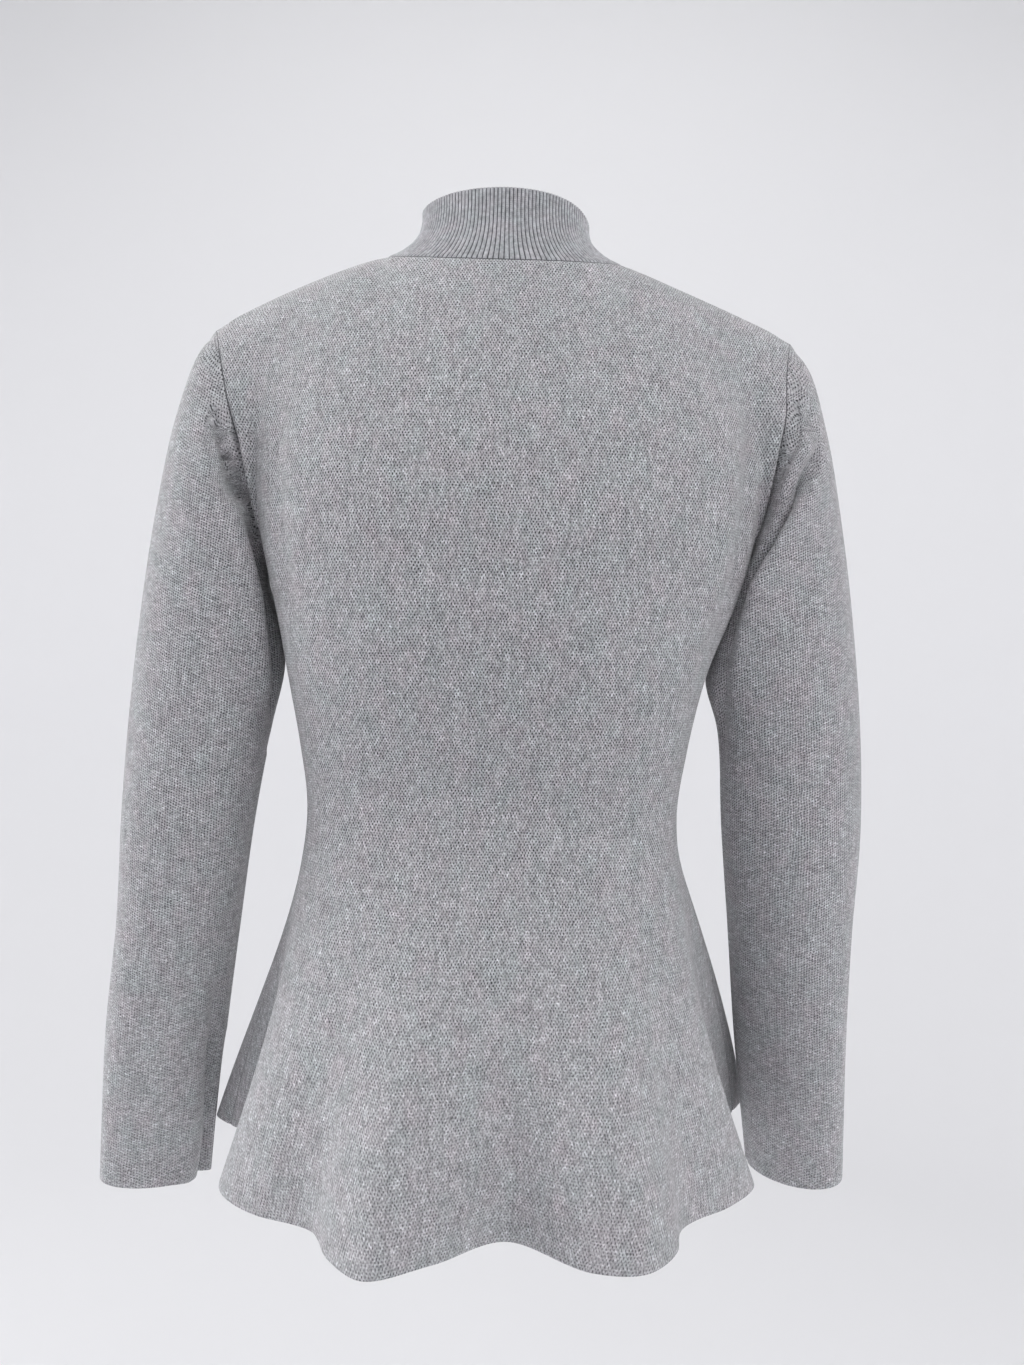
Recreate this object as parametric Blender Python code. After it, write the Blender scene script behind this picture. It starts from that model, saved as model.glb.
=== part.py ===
"""Mock neck peplum sweater in the hollow form it keeps while it is worn.

Five pieces of cloth, each a closed wall: back, front, two set-in sleeves and a ribbed mock neck collar.
The wearer faces -Y and +Z is up, so the wearer's left is +X. The origin is midway between the two
side-neck points, in the plane of the shoulder seams. All sizes are in metres and all angles in degrees.

The whole sweater is first worked out as one skin, whose pieces share their points along every seam. Each
piece is then cut from that skin, drawn back from its seams and given its thickness.
"""

import bpy
import numpy as np

# Cloth and seams
KNIT_THICKNESS = 0.0020
RIB_THICKNESS = 0.0026
SEAM_GAP = 0.0003
SHARPEST_MITRE = 0.60           # a wall grows no thicker than its thickness over this at a folded seam

# Mesh density
NECK_COLUMNS = 6                # from the centre line to the side-neck point
SHOULDER_COLUMNS = 9            # from the side-neck point to the shoulder tip
BODY_ROWS = 15                  # from the hem to the underarm
YOKE_ROWS = 9                   # from the underarm to the shoulder
SLEEVE_ROWS = 17
SLEEVE_CROWD = 1.25             # how closely sleeve rows crowd together at the cap
COLLAR_ROWS = 5

# Points where the pieces meet, on the wearer's left
SHOULDER_TIP = (0.1945, 0.000, -0.051)
UNDERARM_HEIGHT = -0.203
UNDERARM_DIP = 0.040            # how strongly the row through the underarm sags beside it
UNDERARM_REACH = 0.28           # share of a half panel over which it does
NECK_SHARE = 0.35               # share of a half panel's columns that end on the neckline
SHOULDER_ARCH = (1.00, 1.20)    # right and left: 1 is a straight shoulder, more arches it
CORNER_EASE = 1.5               # how closely columns crowd together beside the side-neck point

FLARE_TOP = -0.390              # height below which the cloth falls in flutes


def table(names, *rows):
    """Columns of a table by name."""
    return dict(zip(names.split(), np.array(rows, float).T))


# Plan of the torso, level by level. Squareness 2 is an ellipse.
TORSO = table(
    "height half_width back   front  squareness",
    (-0.604, 0.1550, 0.1310, 0.1260, 2.0),      # hem, without its flutes
    (-0.520, 0.1430, 0.1040, 0.1100, 2.1),      # hip
    (-0.450, 0.1325, 0.0820, 0.1060, 2.2),
    (-0.410, 0.1265, 0.0725, 0.1065, 2.3),
    (-0.372, 0.1238, 0.0670, 0.1090, 2.3),      # waist
    (-0.330, 0.1292, 0.0730, 0.1170, 2.4),
    (-0.290, 0.1370, 0.0830, 0.1270, 2.4),
    (-0.250, 0.1450, 0.0905, 0.1345, 2.4),      # fullest part of the front
    (-0.203, 0.1560, 0.0940, 0.1290, 2.4),      # underarm
)

# Flutes of the hem. Turn is where a fold hangs from on the waist: 0 centre back, 90 left side seam,
# 180 centre front, 270 right side seam. Growth 1 is a straight cone, more opens nearer the hem.
HEM = table(
    "turn   x       y       z      growth",
    (-7,  -0.0150,  0.1095, -0.605, 2.0),       # centre back valley
    (7,    0.0280,  0.1370, -0.604, 2.0),
    (19,   0.0650,  0.1535, -0.603, 2.0),       # back crest, left
    (27,   0.0850,  0.1330, -0.604, 2.0),
    (35,   0.0980,  0.1060, -0.604, 2.0),
    (40,   0.1100,  0.0970, -0.605, 2.0),       # back valley, left
    (47,   0.1344,  0.0893, -0.604, 2.0),
    (58,   0.1631,  0.0614, -0.604, 2.3),       # side crest, left
    (64,   0.1660,  0.0430, -0.604, 2.3),
    (76,   0.1500,  0.0060, -0.605, 1.7),       # side valley, left
    (90,   0.1810, -0.0260, -0.605, 1.8),       # side seam, left
    (97,   0.1925, -0.0430, -0.606, 1.8),       # crest ahead of it
    (118,  0.1280, -0.0880, -0.604, 1.6),       # front valley, left
    (148,  0.0760, -0.1470, -0.602, 1.7),       # front crest, left
    (176,  0.0040, -0.1140, -0.605, 1.8),       # centre front valley
    (207, -0.0700, -0.1500, -0.602, 1.7),       # front crest, right
    (237, -0.1240, -0.1060, -0.604, 1.5),       # front valley, right
    (260, -0.1960, -0.0930, -0.601, 1.2),       # crest ahead of the side seam, right
    (270, -0.1840, -0.0680, -0.602, 1.2),       # side seam, right
    (285, -0.1520, -0.0010, -0.604, 1.6),       # side valley, right
    (295, -0.1740,  0.0330, -0.604, 2.4),       # side crest, right
    (305, -0.1507,  0.0674, -0.604, 2.4),
    (312, -0.1271,  0.0822, -0.605, 2.2),       # back valley, right
    (317, -0.1163,  0.0958, -0.604, 2.0),
    (323, -0.1105,  0.1180, -0.604, 2.0),
    (330, -0.0930,  0.1400, -0.603, 2.0),       # back crest, right
    (340, -0.0600,  0.1400, -0.604, 2.0),
)

# Columns of a panel above the underarm. Across runs from the centre line, 0, to the armhole, 1. Rise and
# lean bend a column's foot up the cloth and towards the centre line. Then it is drawn towards the point
# x, y, z on its way to the top edge.
BACK_YOKE = table(
    "across rise   lean   x       y       z",
    (0.00, 0.060, 0.000,  0.0000,  0.0660, -0.0520),
    (0.18, 0.060, 0.000,  0.0520,  0.0640, -0.0430),
    (0.35, 0.062, 0.000,  0.0870,  0.0570, -0.0300),
    (0.65, 0.064, 0.000,  0.1200,  0.0530, -0.0350),
    (0.88, 0.048, 0.014,  0.1600,  0.0510, -0.0600),
    (1.00, 0.005, 0.048,  0.1800,  0.0460, -0.0850),
)
FRONT_YOKE = table(
    "across rise   lean   x       y       z",
    (0.00, 0.055, 0.000,  0.0000, -0.1080, -0.0960),
    (0.18, 0.056, 0.000,  0.0520, -0.0900, -0.0710),
    (0.35, 0.060, 0.000,  0.0870, -0.0600, -0.0340),
    (0.65, 0.062, 0.000,  0.1200, -0.0540, -0.0400),
    (0.88, 0.046, 0.014,  0.1530, -0.0520, -0.0700),
    (1.00, 0.005, 0.045,  0.1680, -0.0540, -0.0950),
)

# Loops of the collar, from the neck seam to the rim. Hollow is how sharply one dips to the front and back.
COLLAR = table(
    "share half_width side_y  side_z  back_y  back_z  front_y  front_z hollow",
    (0.00, 0.0810, -0.0050, 0.0000, 0.0460, -0.0180, -0.0880, -0.0540, 1.5),    # neck seam
    (0.15, 0.0730, -0.0070, 0.0040, 0.0415, -0.0110, -0.0890, -0.0455, 1.5),
    (0.31, 0.0660, -0.0100, 0.0100, 0.0370, -0.0030, -0.0885, -0.0360, 1.6),
    (0.53, 0.0603, -0.0160, 0.0195, 0.0310,  0.0090, -0.0870, -0.0230, 1.7),
    (0.77, 0.0585, -0.0230, 0.0310, 0.0270,  0.0230, -0.0845, -0.0090, 1.9),
    (1.00, 0.0590, -0.0300, 0.0415, 0.0250,  0.0370, -0.0820,  0.0050, 2.0),    # rim
)
NECK_ROUND = 1.3                # 1 is an ellipse in plan, more draws the loop's quarters in
NECK_SKEW = 0.0022              # how much lower the loops sit on the wearer's right

# Rings of each sleeve after the armhole. A ring spans from its outer point to its inner point, and half_depth
# to the back and front of them. Tilt is how much higher its back is.
SLEEVE_LEFT = table(
    "share outer_x outer_y outer_z inner_x inner_y inner_z half_depth tilt",
    (0.05, 0.2030, -0.003, -0.0680, 0.1570, -0.003, -0.2090, 0.042, 0.000),     # sleeve cap
    (0.12, 0.2165, -0.002, -0.1100, 0.1560, -0.002, -0.2260, 0.049, 0.000),
    (0.22, 0.2305, -0.004, -0.1770, 0.1485, -0.006, -0.2500, 0.049, 0.000),     # upper arm
    (0.32, 0.2400, -0.007, -0.2400, 0.1450, -0.010, -0.2790, 0.048, 0.000),
    (0.43, 0.2475, -0.010, -0.3100, 0.1530, -0.012, -0.3200, 0.046, 0.000),
    (0.55, 0.2520, -0.011, -0.3800, 0.1645, -0.017, -0.3850, 0.042, 0.000),     # elbow
    (0.68, 0.2542, -0.012, -0.4520, 0.1754, -0.028, -0.4600, 0.039, 0.001),
    (0.82, 0.2600, -0.012, -0.5270, 0.1865, -0.040, -0.5420, 0.036, 0.003),
    (1.00, 0.2620, -0.012, -0.6310, 0.1970, -0.052, -0.6465, 0.033, 0.004),     # cuff
)
SLEEVE_RIGHT = table(
    "share outer_x outer_y outer_z inner_x inner_y inner_z half_depth tilt",
    (0.05, 0.2030, -0.003, -0.0680, 0.1570, -0.003, -0.2090, 0.042, 0.000),
    (0.12, 0.2165, -0.002, -0.1100, 0.1560, -0.002, -0.2260, 0.049, 0.000),
    (0.22, 0.2305, -0.004, -0.1770, 0.1485, -0.006, -0.2500, 0.049, 0.000),
    (0.32, 0.2405, -0.007, -0.2400, 0.1450, -0.010, -0.2830, 0.048, 0.000),
    (0.43, 0.2485, -0.011, -0.3100, 0.1550, -0.013, -0.3200, 0.046, 0.000),
    (0.55, 0.2516, -0.013, -0.3800, 0.1605, -0.021, -0.3850, 0.043, 0.000),
    (0.68, 0.2486, -0.016, -0.4520, 0.1700, -0.036, -0.4600, 0.040, 0.000),
    (0.82, 0.2472, -0.018, -0.5230, 0.1793, -0.051, -0.5360, 0.037, 0.000),
    (1.00, 0.2475, -0.020, -0.6210, 0.1930, -0.062, -0.6360, 0.034, 0.000),
)


def unit(vectors):
    """Vectors at length one."""
    return vectors / np.linalg.norm(vectors, axis=-1, keepdims=True)


def smooth(at, places, values):
    """Smooth curve through table rows: cubic pieces that share the slope at each row."""
    values = np.asarray(values, float)
    slopes = np.gradient(values, places, axis=0)
    k = np.clip(np.searchsorted(places, at, side="right") - 1, 0, len(places) - 2)
    span = np.asarray(places[k + 1] - places[k])
    u = np.asarray((at - places[k]) / span)
    wide = (...,) + (None,) * (values.ndim - 1)
    u, span = u[wide], span[wide]
    return ((1 + 2 * u) * (1 - u) ** 2 * values[k] + u * (1 - u) ** 2 * span * slopes[k]
            + u * u * (3 - 2 * u) * values[k + 1] - u * u * (1 - u) * span * slopes[k + 1])


def mirrored(yoke):
    """Yoke table carried over both halves of a panel."""
    sign = dict(across=-1, x=-1)
    return {name: np.concatenate((sign.get(name, 1) * column[:0:-1], column))
            for name, column in yoke.items()}


def torso_plan(turn, height):
    """Point of the unfluted torso: a squared ellipse with its own depth behind and in front."""
    half_width, back, front, squareness = (smooth(height, TORSO["height"], TORSO[name])
                                           for name in ("half_width", "back", "front", "squareness"))
    across, along = np.sin(turn), np.cos(turn)
    reach = (np.abs(across) ** squareness + np.abs(along) ** squareness) ** (-1 / squareness)
    depth = np.where(along > 0, back, front)
    return np.stack((half_width * across * reach, depth * along * reach, height + 0 * turn), -1)


def hem(turn):
    """Point of the hem line and growth of its fold, through the hem table and round again."""
    rows = np.stack([HEM[name] for name in ("x", "y", "z", "growth")], -1)
    places = np.concatenate((HEM["turn"] - 360, HEM["turn"], HEM["turn"] + 360))
    found = smooth(np.degrees(turn), places, np.concatenate((rows, rows, rows)))
    return found[..., :3], found[..., 3]


def underarm_height(turn):
    """Height of the row through the underarms, which sags just beside each side seam."""
    aside = 1 - np.abs(np.mod(turn, np.pi) / (np.pi / 2) - 1)
    near = np.clip(1 - (1 - aside) / UNDERARM_REACH, 0, 1)
    return UNDERARM_HEIGHT - UNDERARM_DIP * near ** 2 * (1 - near)


def body(turn, drop):
    """Point of the torso from the underarm row, drop 0, to the hem, drop 1."""
    top = underarm_height(turn)
    bottom, growth = hem(turn)
    height = top + (bottom[..., 2] - top) * drop
    flare = np.clip((FLARE_TOP - height) / (FLARE_TOP - bottom[..., 2]), 0, 1) ** growth
    point = torso_plan(turn, height)
    point[..., :2] += (bottom[..., :2] - point[..., :2]) * flare[..., None]
    return point


def collar(turn, share):
    """Point of the collar: a loop that dips to the back and front, from the seam, 0, to the rim, 1."""
    loop = {name: smooth(share, COLLAR["share"], column) for name, column in COLLAR.items()}
    across, along = np.sin(turn), np.cos(turn)
    behind = along > 0
    end_y = np.where(behind, loop["back_y"], loop["front_y"])
    end_z = np.where(behind, loop["back_z"], loop["front_z"])
    y = loop["side_y"] + (end_y - loop["side_y"]) * np.abs(along) ** NECK_ROUND
    z = loop["side_z"] + (end_z - loop["side_z"]) * np.abs(along) ** loop["hollow"]
    z = z - NECK_SKEW * np.clip(-across, 0, 1) ** 2
    return np.stack((loop["half_width"] * across, y, z), -1)


def panel_turn(across, facing):
    """Turn of a panel's column: across runs from the right side seam, -1, to the left one, 1."""
    return across * np.pi / 2 if facing > 0 else np.pi - across * np.pi / 2


def neck_turn(across, facing):
    """Turn on the neck seam where a column ends, with columns crowding towards the side-neck points."""
    neck = 1 - np.clip(np.abs(across) / NECK_SHARE, 0, 1)
    return panel_turn(np.sign(across) * (1 - neck ** CORNER_EASE), facing)


def top_edge(across, facing):
    """Point where a panel's column ends: on the neckline, or on the shoulder seam beyond it."""
    point = collar(neck_turn(across, facing), 0 * across)
    beyond = np.clip((np.abs(across) - NECK_SHARE) / (1 - NECK_SHARE), 0, 1) ** CORNER_EASE
    run = np.stack([np.where(across < 0, -tip, tip) if k == 0 else tip + 0 * across
                    for k, tip in enumerate(SHOULDER_TIP)], -1) - point
    arch = np.where(across < 0, *SHOULDER_ARCH)
    return point + run * np.stack((beyond, beyond, beyond ** arch), -1)


def yoke(across, rise, facing):
    """Point of a panel above the underarm: rise 0 is the underarm row and 1 the top edge."""
    handles = mirrored(BACK_YOKE if facing > 0 else FRONT_YOKE)
    lift, lean, x, y, z = (smooth(across, handles["across"], handles[name])[..., None]
                           for name in ("rise", "lean", "x", "y", "z"))
    turn = panel_turn(across, facing)
    start, end = body(turn, 0 * turn), top_edge(across, facing)
    up = unit(start - body(turn, 0 * turn + 0.02))
    level = start[..., 2]
    nearer = panel_turn(across * 0.999, facing)
    inward = torso_plan(nearer, level) - torso_plan(turn, level)
    inward = inward / np.maximum(np.linalg.norm(inward, axis=-1, keepdims=True), 1e-9)
    first = start + up * lift + inward * lean
    second = np.concatenate((x, y, z), -1)
    w = rise[..., None]
    return ((1 - w) ** 3 * start + 3 * w * (1 - w) ** 2 * first + 3 * w * w * (1 - w) * second + w ** 3 * end)


def panel(facing, across, body_rows, yoke_rows):
    """Grid of a panel's points, hem row first. Facing is 1 for the back and -1 for the front."""
    low_across, drop = np.meshgrid(across, 1 - np.linspace(0, 1, body_rows + 1))
    high_across, rise = np.meshgrid(across, np.linspace(0, 1, yoke_rows + 1)[1:])
    low = body(panel_turn(low_across, facing), drop)
    return np.concatenate((low, yoke(high_across, rise, facing)))


def sleeve(side, rings, armhole, rows):
    """Grid of a sleeve's points: one ring a row, from the armhole to the cuff, each closed on itself."""
    turn = np.linspace(0, 2 * np.pi, len(armhole), endpoint=False)[None, :, None]
    column = {name: values[:, None] for name, values in rings.items()}
    outer = np.stack((side * column["outer_x"], column["outer_y"], column["outer_z"]), -1)
    inner = np.stack((side * column["inner_x"], column["inner_y"], column["inner_z"]), -1)
    depth = np.stack((0 * column["tilt"], column["half_depth"], column["tilt"]), -1)
    loops = (outer + inner) / 2 + (outer - inner) / 2 * np.cos(turn) + depth * np.sin(turn)
    places = np.concatenate(((0,), rings["share"]))
    return smooth(np.linspace(0, 1, rows + 1) ** SLEEVE_CROWD, places, np.concatenate((armhole[None], loops)))


def grid_quads(points, closed=False):
    """Four-sided faces between neighbouring rows and columns, as indices into the flattened grid."""
    rows, columns = points.shape[:2]
    index = np.arange(rows * columns).reshape(rows, columns)
    if closed:
        index = np.concatenate((index, index[:, :1]), 1)
    corners = (index[:-1, :-1], index[:-1, 1:], index[1:, 1:], index[1:, :-1])
    return np.stack(corners, -1).reshape(-1, 4)


def skin():
    """The sweater as one skin: its points, and each piece's faces with their fronts outwards."""
    across = np.concatenate((np.linspace(0, NECK_SHARE, NECK_COLUMNS + 1),
                             np.linspace(NECK_SHARE, 1, SHOULDER_COLUMNS + 1)[1:]))
    across = np.concatenate((-across[:0:-1], across))
    back = panel(1, across, BODY_ROWS, YOKE_ROWS)
    front = panel(-1, across, BODY_ROWS, YOKE_ROWS)
    grids = {"back": back, "front": front}
    for side, name, rings in ((1, "sleeve_left", SLEEVE_LEFT), (-1, "sleeve_right", SLEEVE_RIGHT)):
        edge = -1 if side > 0 else 0
        down_the_back = back[:BODY_ROWS - 1:-1, edge]
        up_the_front = front[BODY_ROWS + 1:-1, edge]
        grids[name] = sleeve(side, rings, np.concatenate((down_the_back, up_the_front)), SLEEVE_ROWS)
    ends = across[np.abs(across) <= NECK_SHARE + 1e-9]
    turn = np.concatenate((neck_turn(ends, 1), neck_turn(ends[-2:0:-1], -1)))
    grids["collar"] = collar(*np.meshgrid(turn, np.linspace(0, 1, COLLAR_ROWS + 1)))

    reversed_faces = {"back", "sleeve_left", "collar"}
    points, faces, first = [], {}, 0
    for name, grid in grids.items():
        quads = grid_quads(grid, closed=name not in ("back", "front")) + first
        faces[name] = quads[:, ::-1] if name in reversed_faces else quads
        points.append(grid.reshape(-1, 3))
        first += grid.size // 3
    points = np.concatenate(points)
    places, shared = np.unique(np.round(points, 6), axis=0, return_inverse=True)
    shared = shared.reshape(-1)
    return places, {name: shared[quads] for name, quads in faces.items()}


def skin_normals(points, faces):
    """Outward direction of the skin at each point, and how far a wall there must grow for its mitre."""
    quads = np.concatenate(list(faces.values()))
    a, b, c, d = (points[corner] for corner in quads.T)
    flat = unit(np.cross(c - a, d - b))
    total, count = np.zeros_like(points), np.zeros(len(points))
    for corner in quads.T:
        np.add.at(total, corner, flat)
        np.add.at(count, corner, 1)
    agreement = np.linalg.norm(total, axis=1) / count
    return unit(total), 1 / np.maximum(agreement, SHARPEST_MITRE)


def wall(quads, points, normals, mitre, thickness, neighbours):
    """Closed solid of one piece: its skin drawn back from each seam, the same skin inside, and the rims."""
    used, local = np.unique(quads, return_inverse=True)
    local = local.reshape(quads.shape)
    outside, out = points[used], normals[used]
    edges = np.concatenate([local[:, [k, (k + 1) % 4]] for k in range(4)])
    backwards = {(b, a) for a, b in edges.tolist()}
    rim = np.array([edge for edge in edges.tolist() if tuple(edge) not in backwards])
    on_seam = np.array([(used[b], used[a]) in neighbours for a, b in rim])

    seam = rim[on_seam]
    along = outside[seam[:, 1]] - outside[seam[:, 0]]
    away = unit(np.cross(out[seam[:, 0]] + out[seam[:, 1]], along))
    pull, met = np.zeros_like(outside), np.zeros(len(outside))
    for end in seam.T:
        np.add.at(pull, end, away)
        np.add.at(met, end, 1)
    squared = np.maximum((pull ** 2).sum(1), 1e-9)
    outside = outside + pull * (SEAM_GAP / 2 * met / squared)[:, None]
    inside = outside - out * (thickness * mitre[used])[:, None]

    count = len(used)
    sides = []
    for a, b in rim.tolist():
        if used[a] < used[b]:
            sides += [(b, a, b + count), (a, a + count, b + count)]
        else:
            sides += [(b, a, a + count), (b, a + count, b + count)]
    return np.concatenate((outside, inside)), local.tolist() + (local[:, ::-1] + count).tolist() + sides


def material(name, colour, roughness):
    """Plain finish of a cloth."""
    finish = bpy.data.materials.new(name)
    finish.use_nodes = True
    shader = finish.node_tree.nodes["Principled BSDF"]
    shader.inputs["Base Color"].default_value = (*colour, 1)
    shader.inputs["Roughness"].default_value = roughness
    shader.inputs["Metallic"].default_value = 0
    return finish


def add_piece(name, points, faces, finish):
    """Put one piece into the scene."""
    mesh = bpy.data.meshes.new(name)
    mesh.from_pydata(points.tolist(), [], faces)
    mesh.validate()
    mesh.shade_smooth()
    mesh.materials.append(finish)
    bpy.context.scene.collection.objects.link(bpy.data.objects.new(name, mesh))


def main():
    for item in list(bpy.data.objects):
        bpy.data.objects.remove(item, do_unlink=True)
    points, faces = skin()
    normals, mitre = skin_normals(points, faces)
    finishes = {"back": material("back_knit", (0.335, 0.335, 0.356), 0.9),
                "front": material("front_knit", (0.335, 0.335, 0.356), 0.9),
                "sleeve_left": material("sleeve_left_knit", (0.345, 0.340, 0.352), 0.9),
                "sleeve_right": material("sleeve_right_knit", (0.345, 0.340, 0.352), 0.9),
                "collar": material("collar_rib", (0.328, 0.337, 0.366), 0.85)}
    for name, quads in faces.items():
        others = np.concatenate([other for piece, other in faces.items() if piece != name])
        neighbours = {tuple(edge) for k in range(4) for edge in others[:, [k, (k + 1) % 4]].tolist()}
        thickness = RIB_THICKNESS if name == "collar" else KNIT_THICKNESS
        add_piece(name, *wall(quads, points, normals, mitre, thickness, neighbours), finishes[name])


main()
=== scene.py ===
"""Mock neck peplum sweater: its cloth, rib and seams, in the hollow form it keeps while it is worn."""

import bpy
import numpy as np
from mathutils import Matrix, Vector


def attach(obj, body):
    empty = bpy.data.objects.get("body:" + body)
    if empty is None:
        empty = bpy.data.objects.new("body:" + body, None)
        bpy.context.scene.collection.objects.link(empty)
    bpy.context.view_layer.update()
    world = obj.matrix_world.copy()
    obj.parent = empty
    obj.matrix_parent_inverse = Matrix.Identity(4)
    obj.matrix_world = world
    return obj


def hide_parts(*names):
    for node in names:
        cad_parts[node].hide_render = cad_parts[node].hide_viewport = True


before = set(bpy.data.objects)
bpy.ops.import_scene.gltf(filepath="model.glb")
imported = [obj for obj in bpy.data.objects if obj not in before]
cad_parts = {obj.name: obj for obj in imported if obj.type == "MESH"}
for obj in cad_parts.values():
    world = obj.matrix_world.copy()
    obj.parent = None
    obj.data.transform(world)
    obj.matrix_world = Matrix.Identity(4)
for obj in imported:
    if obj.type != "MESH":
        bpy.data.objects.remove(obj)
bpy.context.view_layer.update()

# ---------------------------------------------------------------------------------------------------
# Back and front panels, as cut and knitted
# Fully fashioned double knit, fit and flare: each is one piece from the neck to the fluted hem. They
# meet at the shoulders and down both sides. Sizes are in metres, and turns in degrees.

TORSO_NAMES = "height half_width back front squareness"
TORSO = (
    (-0.604, 0.1550, 0.1310, 0.1260, 2.0),      # hem, without its flutes
    (-0.520, 0.1430, 0.1040, 0.1100, 2.1),      # hip
    (-0.450, 0.1325, 0.0820, 0.1060, 2.2),
    (-0.410, 0.1265, 0.0725, 0.1065, 2.3),
    (-0.372, 0.1238, 0.0670, 0.1090, 2.3),      # waist
    (-0.330, 0.1292, 0.0730, 0.1170, 2.4),
    (-0.290, 0.1370, 0.0830, 0.1270, 2.4),
    (-0.250, 0.1450, 0.0905, 0.1345, 2.4),      # fullest part of the front
    (-0.203, 0.1560, 0.0940, 0.1290, 2.4),      # underarm
)
# A fold hangs from its turn on the waist: 0 centre back, 90 left side, 180 centre front, 270 right side.
# Growth 1 falls as a straight cone, more opens nearer the hem.
HEM_NAMES = "turn x y z growth"
HEM = (
    (-7,  -0.0150,  0.1095, -0.605, 2.0),       # centre back valley
    (7,    0.0280,  0.1370, -0.604, 2.0),
    (19,   0.0650,  0.1535, -0.603, 2.0),       # back crest, left
    (27,   0.0850,  0.1330, -0.604, 2.0),
    (35,   0.0980,  0.1060, -0.604, 2.0),
    (40,   0.1100,  0.0970, -0.605, 2.0),       # back valley, left
    (47,   0.1344,  0.0893, -0.604, 2.0),
    (58,   0.1631,  0.0614, -0.604, 2.3),       # side crest, left
    (64,   0.1660,  0.0430, -0.604, 2.3),
    (76,   0.1420, -0.0040, -0.605, 1.7),       # side valley, left
    (90,   0.1800, -0.0320, -0.605, 1.8),       # side seam, left
    (97,   0.1940, -0.0495, -0.606, 1.8),       # crest ahead of it
    (118,  0.1280, -0.0880, -0.604, 1.6),       # front valley, left
    (148,  0.0760, -0.1470, -0.602, 1.7),       # front crest, left
    (176,  0.0040, -0.1140, -0.605, 1.8),       # centre front valley
    (207, -0.0700, -0.1500, -0.602, 1.7),       # front crest, right
    (237, -0.1240, -0.1060, -0.604, 1.5),       # front valley, right
    (260, -0.1960, -0.0930, -0.601, 1.2),       # crest ahead of the side seam, right
    (270, -0.1840, -0.0680, -0.602, 1.2),       # side seam, right
    (285, -0.1450, -0.0080, -0.604, 1.6),       # side valley, right
    (295, -0.1740,  0.0330, -0.604, 2.4),       # side crest, right
    (305, -0.1507,  0.0674, -0.604, 2.4),
    (312, -0.1271,  0.0822, -0.605, 2.2),       # back valley, right
    (317, -0.1163,  0.0958, -0.604, 2.0),
    (323, -0.1105,  0.1180, -0.604, 2.0),
    (330, -0.0930,  0.1400, -0.603, 2.0),       # back crest, right
    (340, -0.0600,  0.1400, -0.604, 2.0),
)
# Columns of a panel above the underarm. Across runs from the centre line, 0, to the armhole, 1. Rise
# and lean bend a column's foot; then it is drawn towards the point x, y, z on its way to the top edge.
YOKE_NAMES = "across rise lean x y z"
BACK_YOKE = (
    (0.00, 0.060, 0.000,  0.0000,  0.0660, -0.0520),
    (0.18, 0.060, 0.000,  0.0520,  0.0640, -0.0430),
    (0.35, 0.062, 0.000,  0.0870,  0.0570, -0.0300),
    (0.65, 0.064, 0.000,  0.1200,  0.0530, -0.0350),
    (0.88, 0.048, 0.014,  0.1600,  0.0510, -0.0600),
    (1.00, 0.005, 0.048,  0.1800,  0.0460, -0.0850),
)
FRONT_YOKE = (
    (0.00, 0.055, 0.000,  0.0000, -0.1080, -0.0960),
    (0.18, 0.056, 0.000,  0.0520, -0.0900, -0.0710),
    (0.35, 0.060, 0.000,  0.0870, -0.0600, -0.0340),
    (0.65, 0.062, 0.000,  0.1200, -0.0540, -0.0400),
    (0.88, 0.046, 0.014,  0.1530, -0.0520, -0.0700),
    (1.00, 0.005, 0.045,  0.1680, -0.0540, -0.0950),
)
SHOULDER_TIP = (0.1945, 0.000, -0.051)
SHOULDER_ARCH = (1.00, 1.20)    # right and left: 1 is a straight shoulder, more arches it
UNDERARM_HEIGHT = -0.203
UNDERARM_DIP = 0.040            # how strongly the row through the underarm sags beside it
UNDERARM_REACH = 0.28           # share of a half panel over which it does
FLARE_TOP = -0.390              # height below which the cloth falls in flutes
NECK_SHARE = 0.35               # share of a half panel's columns that end on the neckline
CORNER_EASE = 1.5               # how closely columns crowd together beside the side-neck point
SLOPE_STEP = 0.02               # drop over which the slope of the body at the underarm is taken
ASIDE_STEP = 0.999              # share of a column's place that is a small step towards the centre line


def columns_of(names, rows):
    """Columns of a table by name."""
    return dict(zip(names.split(), np.array(rows, float).T))


def unit(vectors):
    """Vectors at length one."""
    return vectors / np.maximum(np.linalg.norm(vectors, axis=-1, keepdims=True), 1e-12)


def smooth(at, places, values):
    """Smooth curve through values at places: cubic pieces that share the slope at each place."""
    values = np.asarray(values, float)
    slopes = np.gradient(values, places, axis=0)
    k = np.clip(np.searchsorted(places, at, side="right") - 1, 0, len(places) - 2)
    span = np.asarray(places[k + 1] - places[k])
    u = np.asarray((at - places[k]) / span)
    wide = (...,) + (None,) * (values.ndim - 1)
    u, span = u[wide], span[wide]
    return ((1 + 2 * u) * (1 - u) ** 2 * values[k] + u * (1 - u) ** 2 * span * slopes[k]
            + u * u * (3 - 2 * u) * values[k + 1] - u * u * (1 - u) * span * slopes[k + 1])


def torso_plan(turn, height):
    """Unfluted torso: a squared ellipse at each height, with its own depth behind and in front."""
    torso = columns_of(TORSO_NAMES, TORSO)
    half_width, back, front, squareness = (smooth(height, torso["height"], torso[name])
                                           for name in ("half_width", "back", "front", "squareness"))
    across, along = np.sin(turn), np.cos(turn)
    reach = (np.abs(across) ** squareness + np.abs(along) ** squareness) ** (-1 / squareness)
    depth = np.where(along > 0, back, front)
    return np.stack((half_width * across * reach, depth * along * reach, height + 0 * turn), -1)


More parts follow.
